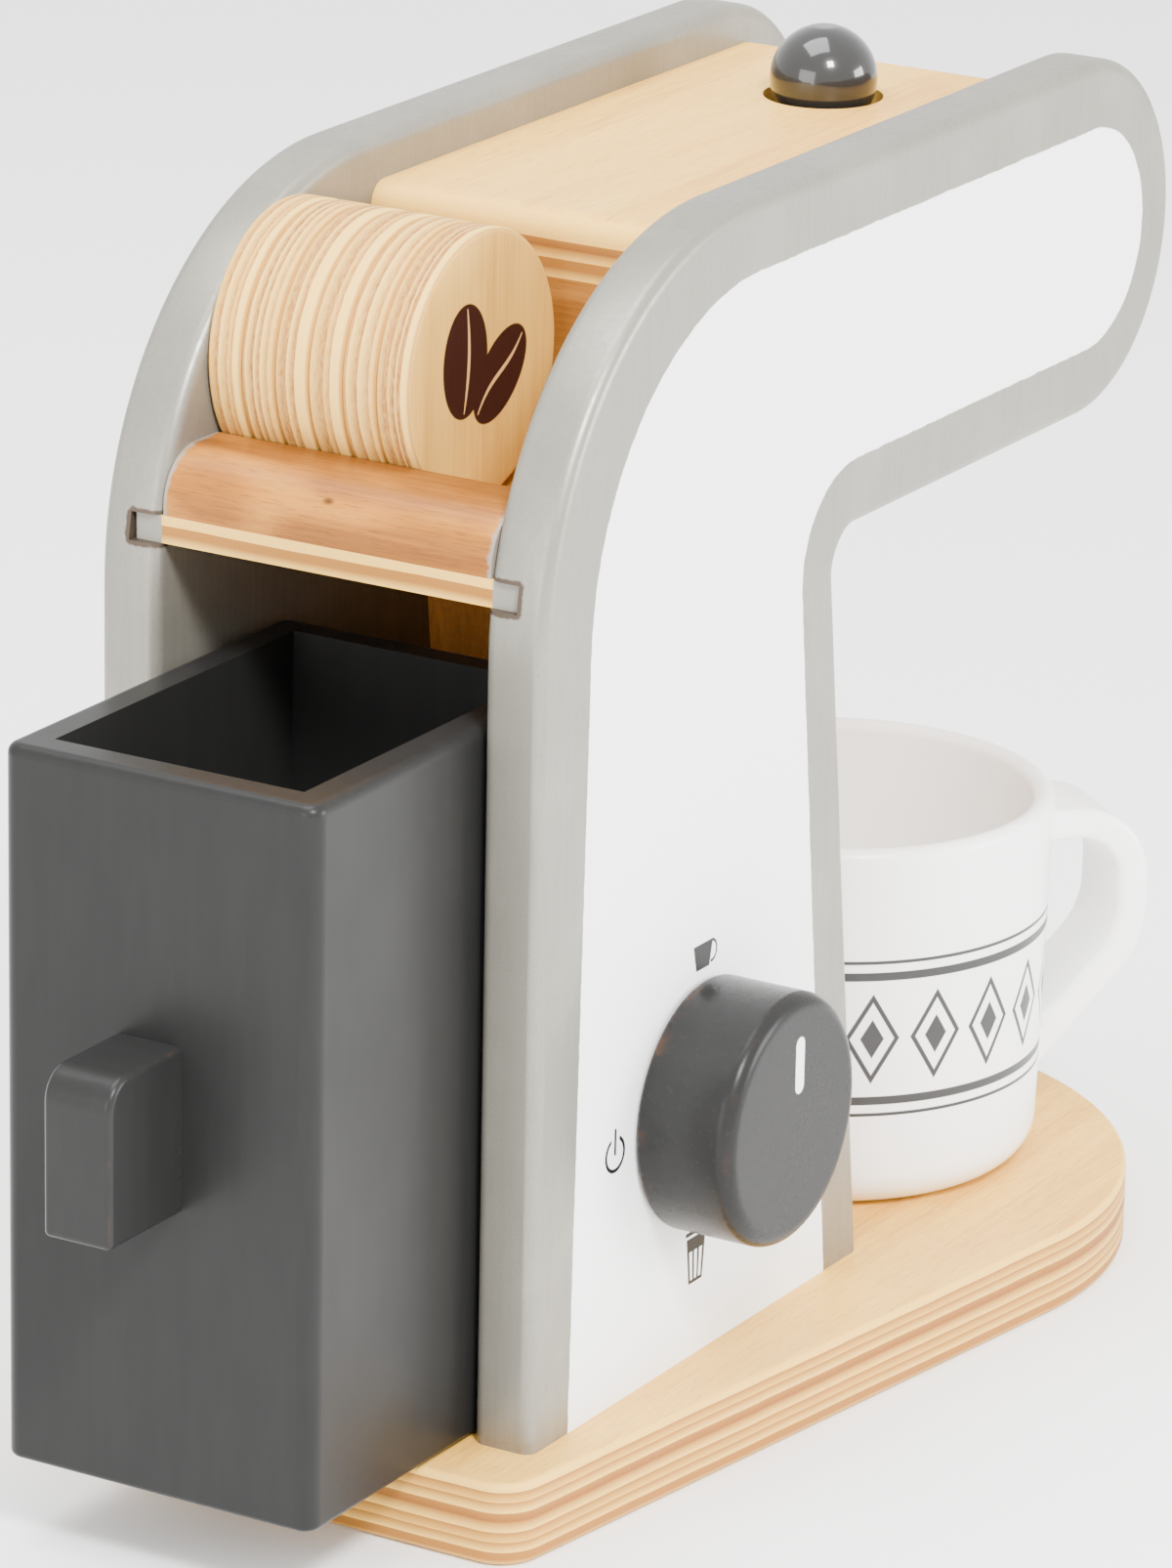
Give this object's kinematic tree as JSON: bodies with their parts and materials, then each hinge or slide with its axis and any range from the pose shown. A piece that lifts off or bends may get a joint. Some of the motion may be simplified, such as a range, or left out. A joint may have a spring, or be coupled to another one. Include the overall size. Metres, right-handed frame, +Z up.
{
  "type": "toy coffee maker",
  "caption": "Toy coffee maker of painted plywood with a press button, turning knob, pull-out container, loose pads and a handled cup.",
  "frame": {"origin": "on the base underside, on the mid-plane between the side panels, below their rear edge", "axes": "+Z up, -Y to the cup side, +Y to the pull-out container, -X to the knob side"},
  "size_m": [0.147, 0.2997, 0.2306],
  "materials": {
    "birch_plywood": "clear satin lacquer",
    "maple": "clear satin lacquer",
    "panel_paint": "satin paint, a white field inside a silver grey border",
    "silver_paint": "satin silver grey paint",
    "dark_paint": "glossy dark grey paint",
    "pad_plywood": "clear satin lacquer with a printed pair of coffee beans on the end pad",
    "cup_paint": "glossy white paint with a grey print",
    "steel": "zinc plated"
  },
  "bodies": {
    "machine": {"base_board": "birch_plywood", "base_screws": "steel", "knob_side_panel": "panel_paint", "plain_side_panel": "silver_paint", "leg_front_board": "birch_plywood", "pad_shelf": "birch_plywood", "pad_rest_strip": "maple", "pad_bay_wall": "maple", "top_board": "birch_plywood", "arm_front_board": "birch_plywood", "arm_floor_board": "birch_plywood", "spout": "dark_paint", "button_spring": "steel"},
    "button": {"button_ball": "dark_paint", "button_dowel": "maple", "button_flange": "maple"},
    "knob_set": {"knob": "dark_paint", "knob_washer": "steel", "knob_screw": "steel"},
    "container": {"container_rear": "dark_paint", "container_front": "dark_paint", "container_near_side": "dark_paint", "container_far_side": "dark_paint", "container_floor": "dark_paint", "container_grip": "dark_paint", "grip_screws": "steel"},
    "cup": {"cup_body": "cup_paint", "cup_handle": "cup_paint"},
    "pad_1": {"coffee_pad_1": "pad_plywood"},
    "pad_2": {"coffee_pad_2": "pad_plywood"},
    "pad_3": {"coffee_pad_3": "pad_plywood"},
    "pad_4": {"coffee_pad_4": "pad_plywood"},
    "pad_5": {"coffee_pad_5": "pad_plywood"},
    "pad_6": {"coffee_pad_6": "pad_plywood"}
  },
  "joints": [
    {"name": "button_press", "type": "slide", "parent": "machine", "child": "button", "axis": [0, 0, -1], "range_m": [0, 0.008], "stiffness_N_per_m": 200, "springref_m": -0.004, "deforming": ["button_spring"]},
    {"name": "knob_turn", "type": "hinge", "parent": "machine", "child": "knob_set", "pos_m": [-0.0452, -0.0562, 0.0638], "axis": [1, 0, 0], "continuous": true},
    {"name": "container_slide", "type": "slide", "parent": "machine", "child": "container", "axis": [0, 1, 0], "range_m": [-0.05, 0.052]},
    {"name": "cup_slide", "type": "slide", "parent": "machine", "child": "cup", "axis": [0, -1, 0], "range_m": [0, 0.11]},
    {"name": "pad_1_lift", "type": "slide", "parent": "machine", "child": "pad_1", "axis": [0, 0, 1], "range_m": [0, 0.06]},
    {"name": "pad_2_lift", "type": "slide", "parent": "machine", "child": "pad_2", "axis": [0, 0, 1], "range_m": [0, 0.06]},
    {"name": "pad_3_lift", "type": "slide", "parent": "machine", "child": "pad_3", "axis": [0, 0, 1], "range_m": [0, 0.06]},
    {"name": "pad_4_lift", "type": "slide", "parent": "machine", "child": "pad_4", "axis": [0, 0, 1], "range_m": [0, 0.06]},
    {"name": "pad_5_lift", "type": "slide", "parent": "machine", "child": "pad_5", "axis": [0, 0, 1], "range_m": [0, 0.06]},
    {"name": "pad_6_lift", "type": "slide", "parent": "machine", "child": "pad_6", "axis": [0, 0, 1], "range_m": [0, 0.06]}
  ]
}
